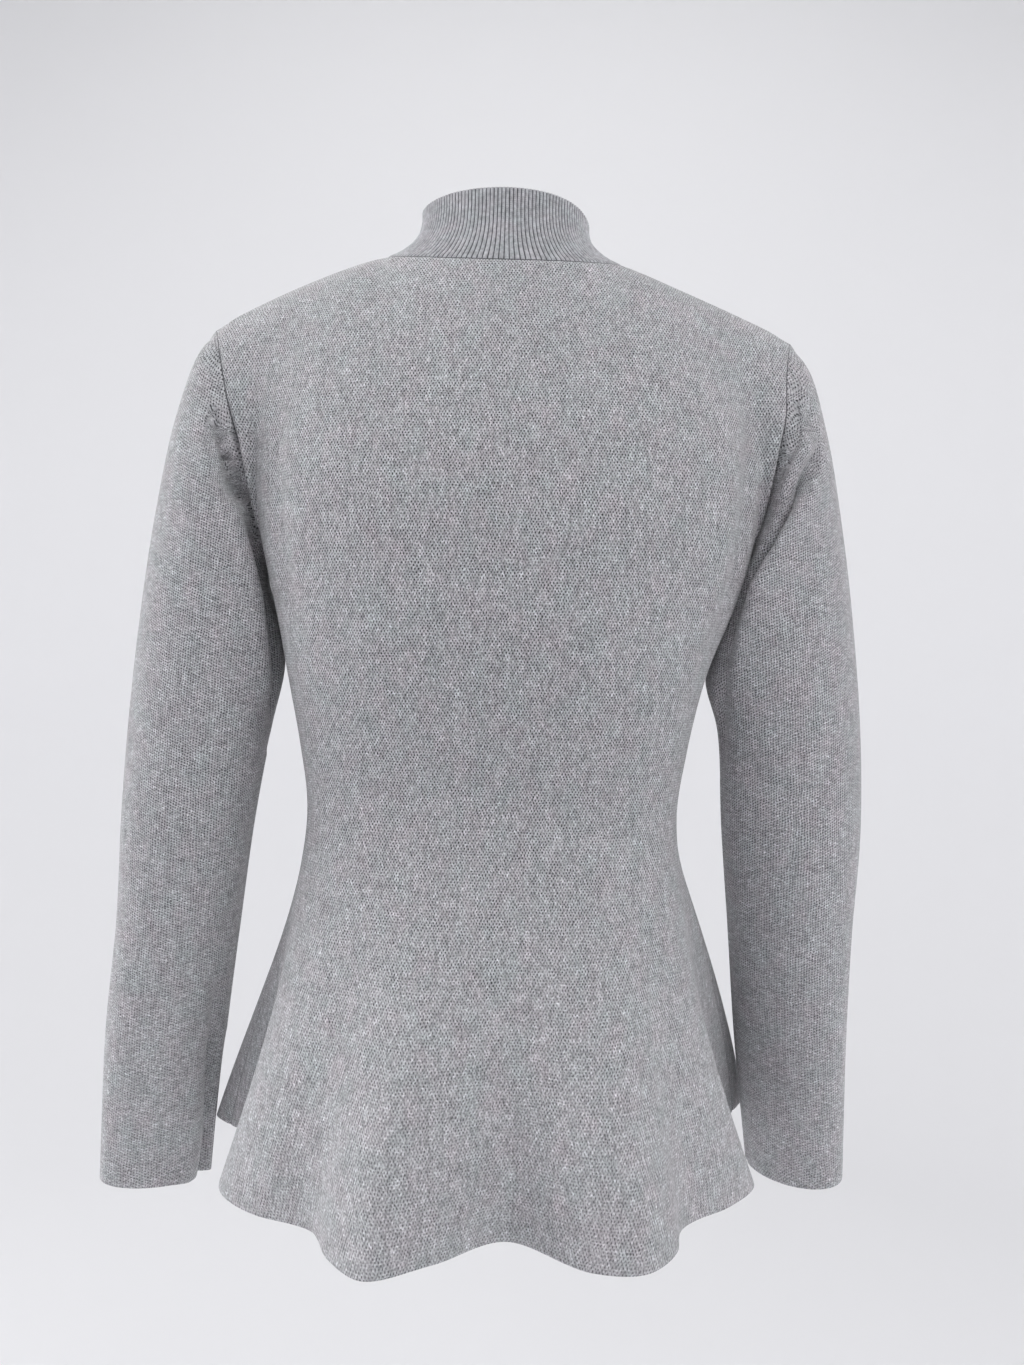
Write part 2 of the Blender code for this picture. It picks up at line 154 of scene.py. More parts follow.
def hem(turn):
    """Hem line and its growth: one smooth closed curve through every fold of the hem table."""
    table = columns_of(HEM_NAMES, HEM)
    rows = np.stack([table[name] for name in ("x", "y", "z", "growth")], -1)
    places = np.concatenate((table["turn"] - 360, table["turn"], table["turn"] + 360))
    found = smooth(np.degrees(turn), places, np.concatenate((rows, rows, rows)))
    return found[..., :3], found[..., 3]


def underarm_height(turn):
    """Row through the underarms: level, with a sag of dip times n squared times 1 - n beside each seam."""
    aside = 1 - np.abs(np.mod(turn, np.pi) / (np.pi / 2) - 1)
    near = np.clip(1 - (1 - aside) / UNDERARM_REACH, 0, 1)
    return UNDERARM_HEIGHT - UNDERARM_DIP * near ** 2 * (1 - near)


def body(turn, drop):
    """Torso from the underarm, drop 0, to the hem, drop 1: its plan, blended into the hem by the flare."""
    top = underarm_height(turn)
    bottom, growth = hem(turn)
    height = top + (bottom[..., 2] - top) * drop
    flare = np.clip((FLARE_TOP - height) / (FLARE_TOP - bottom[..., 2]), 0, 1) ** growth
    point = torso_plan(turn, height)
    point[..., :2] += (bottom[..., :2] - point[..., :2]) * flare[..., None]
    return point


def panel_turn(across, facing):
    """Turn of a panel's column: across runs from the right side seam, -1, to the left one, 1."""
    return across * np.pi / 2 if facing > 0 else np.pi - across * np.pi / 2


def neck_turn(across, facing):
    """Turn on the neck seam where a column ends, with columns crowding towards the side-neck points."""
    neck = 1 - np.clip(np.abs(across) / NECK_SHARE, 0, 1)
    return panel_turn(np.sign(across) * (1 - neck ** CORNER_EASE), facing)


def top_edge(across, facing):
    """Where a column ends: on the neckline, or beyond it on the straight or arched shoulder seam."""
    point = collar_plan(neck_turn(across, facing), 0 * across)
    beyond = np.clip((np.abs(across) - NECK_SHARE) / (1 - NECK_SHARE), 0, 1) ** CORNER_EASE
    tip = np.stack((np.where(across < 0, -1, 1) * SHOULDER_TIP[0], 0 * across + SHOULDER_TIP[1],
                    0 * across + SHOULDER_TIP[2]), -1)
    arch = np.where(across < 0, *SHOULDER_ARCH)
    return point + (tip - point) * np.stack((beyond, beyond, beyond ** arch), -1)


def yoke(across, rise, facing):
    """Panel above the underarm: each column is a four-point curve from the body to the top edge."""
    table = columns_of(YOKE_NAMES, BACK_YOKE if facing > 0 else FRONT_YOKE)
    side = dict(across=-1, x=-1)
    table = {name: np.concatenate((side.get(name, 1) * column[:0:-1], column))
             for name, column in table.items()}
    lift, lean, x, y, z = (smooth(across, table["across"], table[name])[..., None]
                           for name in ("rise", "lean", "x", "y", "z"))
    turn = panel_turn(across, facing)
    start, end = body(turn, 0 * turn), top_edge(across, facing)
    up = unit(start - body(turn, 0 * turn + SLOPE_STEP))
    level = start[..., 2]
    inward = unit(torso_plan(panel_turn(across * ASIDE_STEP, facing), level) - torso_plan(turn, level))
    first = start + up * lift + inward * lean
    second = np.concatenate((x, y, z), -1)
    w = rise[..., None]
    return ((1 - w) ** 3 * start + 3 * w * (1 - w) ** 2 * first + 3 * w * w * (1 - w) * second + w ** 3 * end)


# ---------------------------------------------------------------------------------------------------
# Neckline and collar, as cut
# The collar is a 1x1 rib band about 6 cm tall, linked to the neckline stitch by stitch. It stands up
# close round the neck and dips a little to the front.

COLLAR_NAMES = "share half_width side_y side_z back_y back_z front_y front_z hollow"
COLLAR = (
    (0.00, 0.0810, -0.0050, 0.0000, 0.0460, -0.0180, -0.0880, -0.0540, 1.5),    # neck seam
    (0.15, 0.0730, -0.0070, 0.0040, 0.0415, -0.0110, -0.0890, -0.0455, 1.5),
    (0.31, 0.0660, -0.0100, 0.0100, 0.0370, -0.0030, -0.0885, -0.0360, 1.6),
    (0.53, 0.0603, -0.0160, 0.0195, 0.0310,  0.0090, -0.0870, -0.0230, 1.7),
    (0.77, 0.0585, -0.0230, 0.0310, 0.0270,  0.0230, -0.0845, -0.0090, 1.9),
    (1.00, 0.0590, -0.0300, 0.0415, 0.0250,  0.0370, -0.0820,  0.0050, 2.0),    # rim
)
NECK_ROUND = 1.3                # 1 is an ellipse in plan, more draws the loop's quarters in
NECK_SKEW = 0.0022              # how much lower the loops sit on the wearer's right
RIM_DROP = 0.0055               # how far the rim rolls down there besides


def collar_plan(turn, share):
    """Collar before its ribs: loops from the seam, 0, to the rim, 1, that dip to the back and front."""
    table = columns_of(COLLAR_NAMES, COLLAR)
    loop = {name: smooth(share, table["share"], column) for name, column in table.items()}
    across, along = np.sin(turn), np.cos(turn)
    behind = along > 0
    end_y = np.where(behind, loop["back_y"], loop["front_y"])
    end_z = np.where(behind, loop["back_z"], loop["front_z"])
    y = loop["side_y"] + (end_y - loop["side_y"]) * np.abs(along) ** NECK_ROUND
    z = loop["side_z"] + (end_z - loop["side_z"]) * np.abs(along) ** loop["hollow"]
    right = np.clip(-across, 0, 1)
    z = z - NECK_SKEW * right ** 2 - RIM_DROP * right ** 8 * share ** 2
    return np.stack((loop["half_width"] * across, y, z), -1)


# ---------------------------------------------------------------------------------------------------
# Sleeves, as cut
# Two long plain set-in sleeves of the same double knit, each a tube closed by an underarm seam. They
# hang a little forward of the body.

SLEEVE_NAMES = "share outer_x outer_y outer_z inner_x inner_y inner_z half_depth tilt"
SLEEVE_LEFT = (
    (0.05, 0.2030, -0.003, -0.0680, 0.1570, -0.003, -0.2090, 0.042, 0.000),     # sleeve cap
    (0.12, 0.2165, -0.002, -0.1100, 0.1560, -0.002, -0.2260, 0.049, 0.000),
    (0.22, 0.2305, -0.004, -0.1770, 0.1485, -0.006, -0.2500, 0.049, 0.000),     # upper arm
    (0.32, 0.2400, -0.007, -0.2400, 0.1450, -0.010, -0.2790, 0.048, 0.000),
    (0.43, 0.2475, -0.010, -0.3100, 0.1530, -0.012, -0.3200, 0.046, 0.000),
    (0.55, 0.2520, -0.011, -0.3800, 0.1645, -0.017, -0.3850, 0.042, 0.000),     # elbow
    (0.68, 0.2542, -0.012, -0.4520, 0.1754, -0.028, -0.4600, 0.039, 0.001),
    (0.82, 0.2600, -0.012, -0.5270, 0.1865, -0.040, -0.5420, 0.036, 0.003),
    (1.00, 0.2620, -0.012, -0.6310, 0.1970, -0.052, -0.6465, 0.033, 0.004),     # cuff
)
SLEEVE_RIGHT = (
    (0.05, 0.2030, -0.003, -0.0680, 0.1570, -0.003, -0.2090, 0.042, 0.000),
    (0.12, 0.2165, -0.002, -0.1100, 0.1560, -0.002, -0.2260, 0.049, 0.000),
    (0.22, 0.2305, -0.004, -0.1770, 0.1485, -0.006, -0.2500, 0.049, 0.000),
    (0.32, 0.2405, -0.007, -0.2400, 0.1450, -0.010, -0.2830, 0.048, 0.000),
    (0.43, 0.2485, -0.011, -0.3100, 0.1550, -0.013, -0.3200, 0.046, 0.000),
    (0.55, 0.2516, -0.013, -0.3800, 0.1605, -0.021, -0.3850, 0.043, 0.000),
    (0.68, 0.2486, -0.016, -0.4520, 0.1700, -0.036, -0.4600, 0.040, 0.000),
    (0.82, 0.2472, -0.018, -0.5230, 0.1793, -0.051, -0.5360, 0.037, 0.000),
    (1.00, 0.2475, -0.020, -0.6210, 0.1930, -0.062, -0.6360, 0.034, 0.000),
)


def sleeve_plan(side, rings, armhole, turn, share):
    """Sleeve: rings from the armhole to the cuff, each centre + outer times cos + depth times sin of turn."""
    table = {name: column[:, None] for name, column in columns_of(SLEEVE_NAMES, rings).items()}
    outer = np.stack((side * table["outer_x"], table["outer_y"], table["outer_z"]), -1)
    inner = np.stack((side * table["inner_x"], table["inner_y"], table["inner_z"]), -1)
    depth = np.stack((0 * table["tilt"], table["half_depth"], table["tilt"]), -1)
    around = turn[None, :, None]
    loops = (outer + inner) / 2 + (outer - inner) / 2 * np.cos(around) + depth * np.sin(around)
    places = np.concatenate(((0,), table["share"][:, 0]))
    return smooth(share, places, np.concatenate((armhole[None], loops)))


# ---------------------------------------------------------------------------------------------------
# Sewing together
# The pieces share every point of their seams, so the cloth runs on from one to the next. Where the
# wearer's arm and shoulders draw or press a seam, the pieces on both sides of it follow.

NECK_COLUMNS = 30               # how finely the pieces are cut: columns of half a panel, rows and rings
SHOULDER_COLUMNS = 58
BODY_ROWS = 128
YOKE_ROWS = 72
SLEEVE_ROWS = 190
COLLAR_RINGS = 32
EDGE_CROWD = 0.88               # how much narrower a row or column is right at an edge
EDGE_RUN = 3.5                  # and over how many of them that dies away
DRAWN_OUT = 0.0110              # how far the right armhole is drawn out and back
DRAW_WAY = (-0.95, 0.31)        # which way: sideways and back
DRAW_HEIGHT = -0.180            # height where it is drawn most
DRAW_REACH = 0.085              # how far above and below that it dies away
DRAW_FROM = 0.095               # distance from the centre line where it begins
DRAW_WIDTH = 0.055              # width over which it grows, across and from front to back
DRAW_FOLLOW = 0.022             # how far down the sleeve follows
TIP_PRESS = 0.0026              # how far each shoulder point is pressed down
TIP_REACH = 0.0110              # how far round it that dies away


def steps(count, tight_start=True, tight_end=False):
    """Places from 0 to 1 that stand close together at an edge and evenly away from it."""
    k = np.arange(count)
    widths = np.ones(count)
    widths -= EDGE_CROWD * np.exp(-k / EDGE_RUN) * tight_start
    widths -= EDGE_CROWD * np.exp(-k[::-1] / EDGE_RUN) * tight_end
    return np.concatenate(((0,), np.cumsum(widths) / widths.sum()))


neck_steps = np.linspace(0, NECK_SHARE, NECK_COLUMNS + 1)
shoulder_steps = NECK_SHARE + (1 - NECK_SHARE) * steps(SHOULDER_COLUMNS, False, True)
across = np.concatenate((neck_steps, shoulder_steps[1:]))
across = np.concatenate((-across[:0:-1], across))
drop = 1 - steps(BODY_ROWS)
rise = steps(YOKE_ROWS, False, True)

grids = {}
for name, facing in (("back", 1), ("front", -1)):
    low = body(*np.meshgrid(panel_turn(across, facing), drop))
    high = yoke(*np.meshgrid(across, rise[1:]), facing)
    grids[name] = np.concatenate((low, high))
for name, side, rings in (("sleeve_left", 1, SLEEVE_LEFT), ("sleeve_right", -1, SLEEVE_RIGHT)):
    edge = -1 if side > 0 else 0
    armhole = np.concatenate((grids["front"][BODY_ROWS:, edge], grids["back"][-2:BODY_ROWS - 1:-1, edge]))
    around = np.pi * np.concatenate((1 + rise, 3 - rise[-2::-1]))
    grids[name] = sleeve_plan(side, rings, armhole, around, steps(SLEEVE_ROWS, True, True))
neck_ends = across[np.abs(across) <= NECK_SHARE + 1e-9]
neck_turns = np.unwrap(np.concatenate((neck_turn(neck_ends, 1), neck_turn(neck_ends[-2::-1], -1))))
grids["collar"] = collar_plan(*np.meshgrid(neck_turns, np.linspace(0, 1, COLLAR_RINGS + 1)))


def worn(grid, hold):
    """Grid as the wearer holds it: the right armhole drawn out and back by a smooth step across times a bell
    over its height, and each shoulder point pressed down by exp(-(distance / reach) squared). Hold is 1 where
    the cloth follows, 0 where it doesn't."""
    x, y, z = np.moveaxis(grid, -1, 0)
    bell = np.exp(-((z - DRAW_HEIGHT) / DRAW_REACH) ** 4)
    edge = np.clip((-x - DRAW_FROM) / DRAW_WIDTH, 0, 1) * np.clip((y + DRAW_WIDTH) / DRAW_WIDTH, 0, 1)
    drawn = DRAWN_OUT * bell * edge ** 2 * (3 - 2 * edge) * hold
    tip_x, tip_y, tip_z = SHOULDER_TIP
    from_tip = np.sqrt((np.abs(x) - tip_x) ** 2 + (y - tip_y) ** 2 + (z - tip_z) ** 2)
    pressed = TIP_PRESS * np.exp(-(from_tip / TIP_REACH) ** 2)
    return grid + np.stack((DRAW_WAY[0] * drawn, DRAW_WAY[1] * drawn, -pressed), -1)


for name, grid in grids.items():
    from_armhole = np.concatenate(((0,), np.cumsum(np.linalg.norm(np.diff(grid, axis=0), axis=-1).mean(1))))
    hold = np.exp(-(from_armhole / DRAW_FOLLOW) ** 2)[:, None] if "sleeve" in name else 1.0
    grids[name] = worn(grid, hold)


def grid_faces(index):
    """Corners of the faces between neighbouring rows and columns of a grid of point numbers."""
    return np.stack((index[:-1, :-1], index[:-1, 1:], index[1:, 1:], index[1:, :-1]), -1).reshape(-1, 4)


def sewn_normals(grids):
    """Outward direction at each grid point, averaged over all the faces that meet there, across seams."""
    inward = {"back", "sleeve_left", "collar"}      # grids whose rows and columns turn the faces inwards
    flats, corners, first = [], [], 0
    for name, grid in grids.items():
        a, b, c, d = grid[:-1, :-1], grid[:-1, 1:], grid[1:, 1:], grid[1:, :-1]
        flat = np.cross(c - a, d - b).reshape(-1, 3)
        flats.append(-flat if name in inward else flat)
        index = first + np.arange(grid[..., 0].size).reshape(grid.shape[:2])
        corners.append(grid_faces(index))
        first += index.size
    flats, corners = np.concatenate(flats), np.concatenate(corners)
    points = np.concatenate([grid.reshape(-1, 3) for grid in grids.values()])
    shared = np.unique(np.round(points, 6), axis=0, return_inverse=True)[1].reshape(-1)
    total = np.zeros((shared.max() + 1, 3))
    for corner in corners.T:
        np.add.at(total, shared[corner], flats)
    normals = unit(total)[shared]
    ends = np.cumsum([grid[..., 0].size for grid in grids.values()])[:-1]
    return {name: part.reshape(grid.shape)
            for (name, grid), part in zip(grids.items(), np.split(normals, ends))}


normals = sewn_normals(grids)

# ---------------------------------------------------------------------------------------------------
# Back and front panels
# Grey melange double knit with a small bird's-eye stitch, about 2 mm thick, matt and softly napped. They
# are sewn at the shoulders and sides, and the hem is a plain knitted edge.

KNIT_THICKNESS = 0.0020
STITCH_WIDTH = 0.0020           # a real stitch is 1.8 mm by 1.5 mm, drawn a little coarser so that it shows
STITCH_HEIGHT = 0.0017
STITCH_RELIEF = 0.0004
WANDER = (0.0060, 0.0022)       # over what length, and how far, the wales and courses wander
KNIT_GROUND = "#BABABD"
# painted shade in the eyes, the small holes of the bird's-eye stitch
KNIT_EYE_PAINTED_SHADE = "#363538"
KNIT_TINTS = ("#F8FDFC", "#FFF9FB")
SEAM_SHADE = "#3A3A3E"
EYE = (0.0060, 0.0050)          # size of the patches where the painted shade in the eyes is deeper or fainter
EYE_FADE = (-0.55, -0.36)       # heights between which the eyes and their painted shade open from their share at the hem to full
HEM_EYE = 0.60
FIBRE = (0.0012, 0.0044)        # width and length of light and dark tufts of fibre
STREAK = (0.0028, 0.0140)       # width and length of the streaks where light or dark fibres ran together
YARN = (0.0060, 0.0016)         # length and height of the tone of one course's yarn
CLOUD = (0.0140, 0.0200)        # size of the faint clouds of light and dark
TINT = (0.0120, 0.0180)         # size of the clouds of cooler and warmer grey
SPECK = (0.0010, 0.0010)        # single light and dark fibres
NAP = (0.0011, 0.0009)
SEAM_DEPTH = 0.0008             # how far cloth dips into a seam
SEAM_WIDTH = 0.0020
SEAM_HOLD = 0.0040              # how near a seam the folds die away
SEAM_FAR = 0.02                 # distances from a seam are told up to here
EDGE_ROUND = 0.0008             # how far a free edge rounds over
TUCK_DEPTH = 0.0220             # how far the lower armhole seam slips under the body's edge
TUCK_TOP = -0.105               # heights where that starts, is full and ends
TUCK_FULL = -0.168
TUCK_END = -0.225
TUCK_WAY = (0.20, 0.98)         # shares of it that go towards the centre line, and in from back or front
TUCK_TURN = 0.040               # how far behind or ahead of the seam's middle the second share is full
PANEL_TUCK = 0.0022             # how near the seam the body's edge turns under
SLEEVE_TUCK = 0.0055            # how near the seam the sleeve sinks in
SHOULDER_BEND = -0.110          # height above which the cloth turns over the shoulders
SHOULDER_PULL = 0.35            # 1 is slack cloth there, less draws the courses apart
LEVEL_CUTS = 260                # how many level cuts the stitches are laid out by
FOLD_MARKS = 17                 # how many places a curved fold is drawn through
FOLD_FADE = 0.6                 # less keeps a fold full nearer to its ends
# Folds: width, height of the crest (below zero a trough), then places on the cloth along the fold.
BACK_FOLDS = (
    (0.0095, -0.0028, (0.144, 0.510), (0.147, 0.486), (0.148, 0.460), (0.146, 0.430), (0.143, 0.400),
     (0.134, 0.360)),
    (0.0120, -0.0050, (-0.168, 0.520), (-0.169, 0.500), (-0.168, 0.463), (-0.165, 0.425), (-0.160, 0.385),
     (-0.150, 0.340)),
    (0.0040, -0.0008, (0.011, 0.478), (0.007, 0.461), (0.001, 0.447)),
    (0.0070, -0.0009, (0.092, 0.380), (0.097, 0.336)),
    (0.0045, -0.0007, (0.077, 0.247), (0.055, 0.231)),
    (0.0045, -0.0008, (-0.029, 0.352), (-0.052, 0.329)),
    (0.0045, -0.0007, (0.016, 0.243), (-0.002, 0.225)),
    (0.0160, 0.0008, (-0.110, 0.300), (0.000, 0.290), (0.110, 0.300)),
    (0.0120, -0.0007, (-0.115, 0.262), (0.000, 0.255), (0.115, 0.265)),
)
FRONT_FOLDS = (
    (0.0110, -0.0020, (0.150, 0.500), (0.146, 0.462), (0.140, 0.423), (0.132, 0.380)),
    (0.0110, -0.0020, (-0.150, 0.500), (-0.146, 0.462), (-0.140, 0.423), (-0.132, 0.380)),
    (0.0140, 0.0009, (-0.110, 0.290), (0.000, 0.280), (0.110, 0.295)),
    (0.0120, -0.0008, (-0.115, 0.255), (0.000, 0.247), (0.115, 0.258)),
    (0.0060, -0.0008, (0.060, 0.250), (0.030, 0.228)),
    (0.0060, -0.0008, (-0.070, 0.262), (-0.040, 0.240)),
)


def run(grid, axis):
    """Distance run along the rows, 1, or the columns, 0, of a grid."""
    lengths = np.linalg.norm(np.diff(grid, axis=axis), axis=-1)
    start = np.zeros_like(lengths[:1] if axis == 0 else lengths[:, :1])
    return np.concatenate((start, np.cumsum(lengths, axis)), axis)


def cloth_places(grid, up, along, guide, bend=np.inf, aside=(0, 0, 0), pull=1.0):
    """Place of each point on the knitted cloth, in metres. Courses lie level across up: the first number is
    the distance run along a level cut of the piece, from its guide column; the second is the height of the
    cut, measured on the cloth down the guide column. Above the height bend the cloth turns over the
    shoulder: there each step up a column, with its depth from back to front times pull, adds what it goes
    aside to the first number and the rest of its length to the second, taken off where it goes down."""
    up, along = np.array(up), np.array(along)
    height = grid @ up
    turned = -1 if height[0, guide] > height[-1, guide] else 1
    rise = np.maximum.accumulate(height[::turned], 0) + np.arange(len(grid))[:, None] * 1e-9
    points = grid[::turned]
    cuts = np.linspace(height.min(), height.max(), LEVEL_CUTS)
    level = np.array([[np.interp(cuts, rise[:, k], points[:, k, axis]) for axis in range(3)]
                      for k in range(grid.shape[1])]).transpose(2, 0, 1)
    moves = np.diff(level, axis=1)
    moves = np.linalg.norm(moves - (moves @ up)[..., None] * up, axis=-1)
    reach = np.concatenate((np.zeros_like(moves[:, :1]), np.cumsum(moves, 1)), 1)
    reach += (level[:, guide] @ along - reach[:, guide])[:, None]
    u = np.stack([np.interp(height[:, k], cuts, reach[:, k]) for k in range(grid.shape[1])], 1)
    beyond = height - np.clip(height, rise[0, guide], rise[-1, guide])
    v = np.interp(height, rise[:, guide], run(points, 0)[:, guide]) + beyond
    places = np.stack((u, v), -1)
    over = np.clip((rise[1:] - bend) / (rise[1:] - rise[:-1]), 0, 1)
    step = np.diff(points, axis=0) * over[..., None] * (1, pull, 1)
    sideways = step @ np.array(aside)
    upwards = np.sqrt(np.maximum((step ** 2).sum(-1) - sideways ** 2, 0)) * np.where(step @ up < 0, -1, 1)
    moved = np.concatenate((np.zeros_like(step[:1, :, :2]), np.cumsum(np.stack((sideways, upwards), -1), 0)))
    below = [[np.interp(bend, rise[:, k], places[::turned, k, axis]) for axis in range(2)]
             for k in range(grid.shape[1])]
    return np.where((rise > bend)[::turned, :, None], (np.array(below) + moved)[::turned], places)


def fold_height(places, folds):
    """Height of the folds over each place on the cloth: each is a ridge, or a trough where it is negative,
    that falls away as exp(-(distance / width) squared) from a smooth line, times a power of the sine of
    the share of the line, so that it fades out at its ends."""
    height = np.zeros(places.shape[:-1])
    for width, crest, *line in folds:
        line = np.array(line)
        marks = line
        if len(line) > 2:
            marks = smooth(np.linspace(0, 1, FOLD_MARKS), np.linspace(0, 1, len(line)), line)
        nearest = np.full(height.shape, 1.0)
        share = np.zeros(height.shape)
        for k, (a, b) in enumerate(zip(marks[:-1], marks[1:])):
            t = np.clip(((places - a) @ (b - a)) / ((b - a) @ (b - a)), 0, 1)
            away = np.linalg.norm(places - a - t[..., None] * (b - a), axis=-1)
            share = np.where(away < nearest, (k + t) / (len(marks) - 1), share)
            nearest = np.minimum(away, nearest)
        height += crest * np.exp(-(nearest / width) ** 2) * np.sin(np.pi * share) ** FOLD_FADE
    return height


def sew_shell(name, points, normals, thickness, places, seam, finish, closed=False):
    """Thin closed shell of cloth: the outer surface, the same surface moved in by the thickness, and the
    rims between them. It carries each point's place on the cloth and its distance from a seam."""
    rows, columns = points.shape[:2]
    outer = np.arange(rows * columns).reshape(rows, columns)
    if closed:
        outer[:, -1] = outer[:, 0]
    inner = outer + rows * columns
    rims = [(outer[0], inner[0]), (inner[-1], outer[-1])]
    if not closed:
        rims += [(inner[:, 0], outer[:, 0]), (outer[:, -1], inner[:, -1])]
    first_face = np.cross(points[1, 1] - points[0, 1], points[0, 2] - points[0, 1])
    way = 1 if first_face @ normals[0, 1] > 0 else -1
    faces = [grid_faces(outer)[:, ::way], grid_faces(inner)[:, ::-way]]
    faces += [grid_faces(np.stack(pair))[:, ::-way] for pair in rims]
    faces = np.concatenate(faces)
    shell = np.concatenate((points.reshape(-1, 3), (points - normals * thickness).reshape(-1, 3)))
    mesh = bpy.data.meshes.new(name)
    mesh.from_pydata(shell.tolist(), [], faces.tolist())

    corner = faces.reshape(-1).copy()
    if closed:
        column = faces % columns
        wraps = (column == columns - 2).any(1, keepdims=True) & (column == 0)
        corner += wraps.reshape(-1) * (columns - 1)
    flat = np.tile(places.reshape(-1, 2), (2, 1))
    layer = mesh.uv_layers.new(name="cloth")
    layer.data.foreach_set("uv", flat[corner].reshape(-1))
    near = mesh.attributes.new("seam", "FLOAT", "POINT")
    near.data.foreach_set("value", np.tile(np.clip(seam, 0, SEAM_FAR).reshape(-1), 2))
    mesh.shade_smooth()
    mesh.materials.append(finish)
    piece = bpy.data.objects.new(name, mesh)
    bpy.context.scene.collection.objects.link(piece)
    return piece


def linear(colour):
    """Linear red, green, blue and alpha of an sRGB hex colour."""
    parts = np.array([int(colour[k:k + 2], 16) / 255 for k in (1, 3, 5)])
    return (*np.where(parts <= 0.04045, parts / 12.92, ((parts + 0.055) / 1.055) ** 2.4), 1.0)


def add_node(tree, kind, inputs=(), **settings):
    """One node with its settings; each input is a value or another node's output."""
    made = tree.nodes.new(kind)
    for name, value in settings.items():
        setattr(made, name, value)
    for socket, value in dict(inputs).items():
        if isinstance(value, bpy.types.NodeSocket):
            tree.links.new(value, made.inputs[socket])
        else:
            made.inputs[socket].default_value = value
    return made


def multiply(tree, colour, shade):
    """Colour made lighter or darker by a grey shade or another colour."""
    return add_node(tree, "ShaderNodeMix", {0: 1.0, 6: colour, 7: shade}, data_type="RGBA",
                    blend_type="MULTIPLY").outputs[2]


def patches(tree, place, size, low, high, spread=0.5, detail=2.0):
    """Cloudy patches of a width and height, twice as deep as wide, as a value between low and high."""
    laid = add_node(tree, "ShaderNodeMapping", {0: place, "Scale": (1 / size[0], 0.5 / size[0], 1 / size[1])})
    cloud = add_node(tree, "ShaderNodeTexNoise", {"Vector": laid.outputs[0], "Scale": 1.0, "Detail": detail})
    inputs = {0: cloud.outputs[0], 1: 0.5 - spread / 2, 2: 0.5 + spread / 2, 3: low, 4: high}
    return add_node(tree, "ShaderNodeMapRange", inputs).outputs[0]


def sewn_line(tree, colour, near, far, share):
    """Colour with a dark line where cloth is sewn: a share of the seam's shade, fading from near to far."""
    seam = add_node(tree, "ShaderNodeAttribute", attribute_name="seam").outputs["Fac"]
    sewn = add_node(tree, "ShaderNodeMapRange", {0: seam, 1: near, 2: far, 3: share, 4: 0.0},
                    interpolation_type="SMOOTHSTEP").outputs[0]
    return add_node(tree, "ShaderNodeMix", {0: sewn, 6: colour, 7: linear(SEAM_SHADE)},
                    data_type="RGBA").outputs[2]


def tinted(tree, colour, tone, tints):
    """Colour tinted between a cool and a warm white, as two lots of fibre blended unevenly give."""
    cool, warm = linear(tints[0]), linear(tints[1])
    tint = add_node(tree, "ShaderNodeMix", {0: tone, 6: cool, 7: warm}, data_type="RGBA")
    return multiply(tree, colour, tint.outputs[2])


def matt_cloth(tree, colour, relief, strength, sheen):
    """Colour and relief on the shader of soft knitted cloth: hardly any gloss, and a faint sheen of nap."""
    shader = tree.nodes["Principled BSDF"]
    bump = add_node(tree, "ShaderNodeBump",
                    {"Strength": strength, "Distance": STITCH_RELIEF, "Height": relief})
    tree.links.new(colour, shader.inputs["Base Color"])
    tree.links.new(bump.outputs[0], shader.inputs["Normal"])
    shader.inputs["Roughness"].default_value = 0.95
    shader.inputs["Specular IOR Level"].default_value = 0.2
    shader.inputs["Sheen Weight"].default_value = sheen
    shader.inputs["Sheen Roughness"].default_value = 0.45


